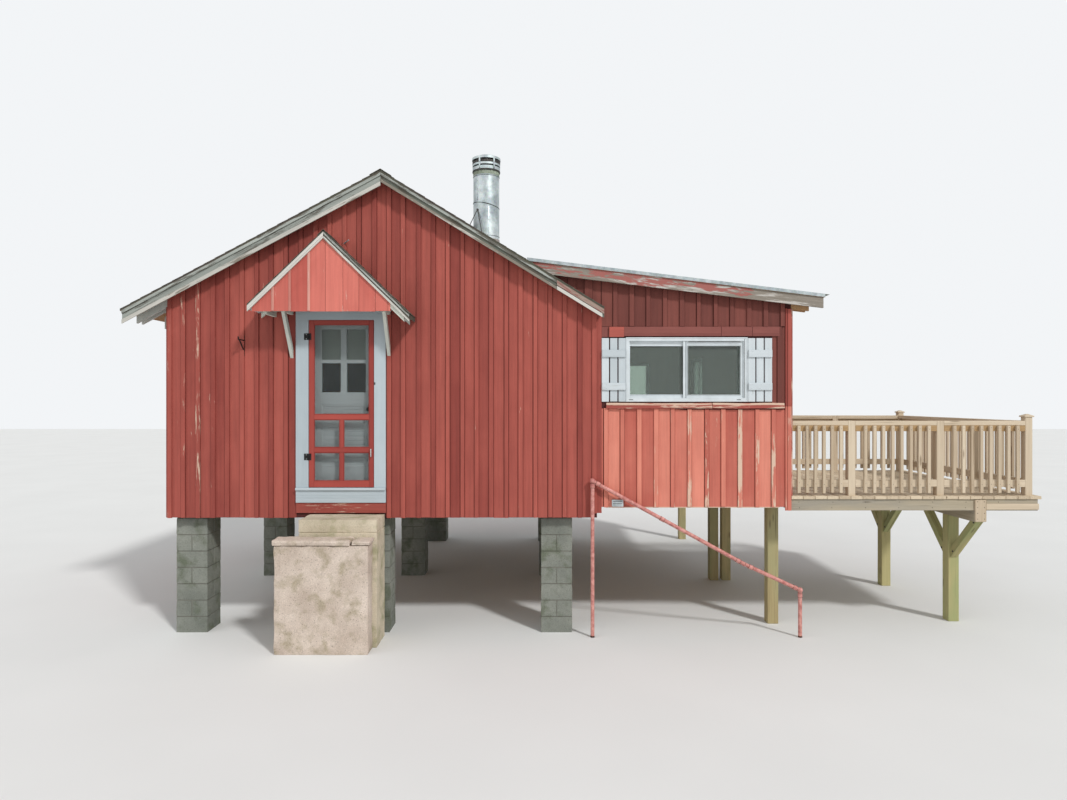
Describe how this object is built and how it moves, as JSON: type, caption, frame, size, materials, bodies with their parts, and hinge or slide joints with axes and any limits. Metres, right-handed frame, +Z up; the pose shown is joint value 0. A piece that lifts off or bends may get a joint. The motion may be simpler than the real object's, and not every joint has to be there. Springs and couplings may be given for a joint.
{
  "type": "lakeside cabin on piers with a raised deck",
  "caption": "Gabled wooden cabin on piers with a shed-roofed addition, a hooded front door and a railed side deck.",
  "frame": {"origin": "middle of the whole cabin's box, on the level of the lowest ground", "axes": "+X along the front from the gabled room to the deck, +Y from the front door to the back, +Z up"},
  "size_m": [11.145, 7.285, 6.357],
  "materials": {
    "red_siding": "weathered barn-red paint on boards",
    "red_trim": "weathered barn-red paint",
    "white_paint": "weathered white paint",
    "grey_rake": "grey-white weathered paint",
    "peeling_rake": "red paint peeling to white and bare wood",
    "shingle": "mineral-faced shingles",
    "roll_roofing": "mineral-faced roll roofing",
    "raw_lumber": "bare sawn timber",
    "treated_lumber": "weathered pressure-treated timber",
    "old_post": "weathered timber",
    "concrete": "weathered concrete",
    "block": "rough concrete block",
    "galvanised": "dull galvanised sheet",
    "white_vinyl": "satin",
    "glass": "clear",
    "insect_screen": "fine woven mesh",
    "black_iron": "painted black",
    "silver_metal": "worn",
    "pipe_paint": "faded red paint",
    "red_door": "satin red paint"
  },
  "bodies": {
    "cabin": {"block_piers": "block", "floor_beams": "old_post", "main_floor_joists": "raw_lumber", "addition_floor_joists": "raw_lumber", "floor_boards": "raw_lumber", "addition_posts": "old_post", "front_wall_left": "red_siding", "front_wall_right": "red_siding", "front_wall_over_door": "red_siding", "front_wall_under_door": "red_siding", "left_wall": "red_siding", "back_wall": "red_siding", "addition_front_wall": "red_siding", "addition_side_wall": "red_siding", "addition_back_wall": "red_siding", "eave_beam": "raw_lumber", "ridge_board": "raw_lumber", "rafters": "white_paint", "main_roof_left": "shingle", "main_roof_right": "shingle", "main_rake_boards": "grey_rake", "addition_roof": "roll_roofing", "addition_rake_boards": "peeling_rake", "chimney_pipe": "galvanised", "chimney_cap": "galvanised", "chimney_flashing": "galvanised", "hood_roof": "shingle", "hood_front_boards": "red_siding", "hood_trim": "grey_rake", "hood_frame": "white_paint", "hood_brackets": "white_paint", "door_casing": "white_paint", "door_sill_boards": "white_paint", "hinge_leaves": "black_iron", "front_window_frame": "white_vinyl", "side_window_frames": "white_vinyl", "window_glass": "glass", "shutters": "white_paint", "wall_trim_boards": "red_trim", "deck_door": "white_paint", "deck_floor": "treated_lumber", "deck_frame": "treated_lumber", "deck_beam": "treated_lumber", "deck_posts": "treated_lumber", "deck_rails": "treated_lumber", "rail_posts": "treated_lumber", "rail_post_caps": "treated_lumber", "entry_step": "concrete", "pipe_handrail": "pipe_paint", "wall_fittings": "black_iron"},
    "screen_door": {"screen_door_frame": "red_door", "screen_door_mesh": "insect_screen", "screen_door_hardware": "silver_metal"},
    "inner_door": {"inner_door": "white_paint", "inner_door_glass": "glass", "inner_door_hardware": "black_iron"}
  },
  "joints": [
    {"name": "screen_door_hinge", "type": "hinge", "parent": "cabin", "child": "screen_door", "pos_m": [-3.351, -2.9685, 2.825], "axis": [0, 0, -1], "range_deg": [0, 100]},
    {"name": "inner_door_hinge", "type": "hinge", "parent": "cabin", "child": "inner_door", "pos_m": [-3.337, -2.7945, 2.818], "axis": [0, 0, 1], "range_deg": [0, 95]}
  ]
}
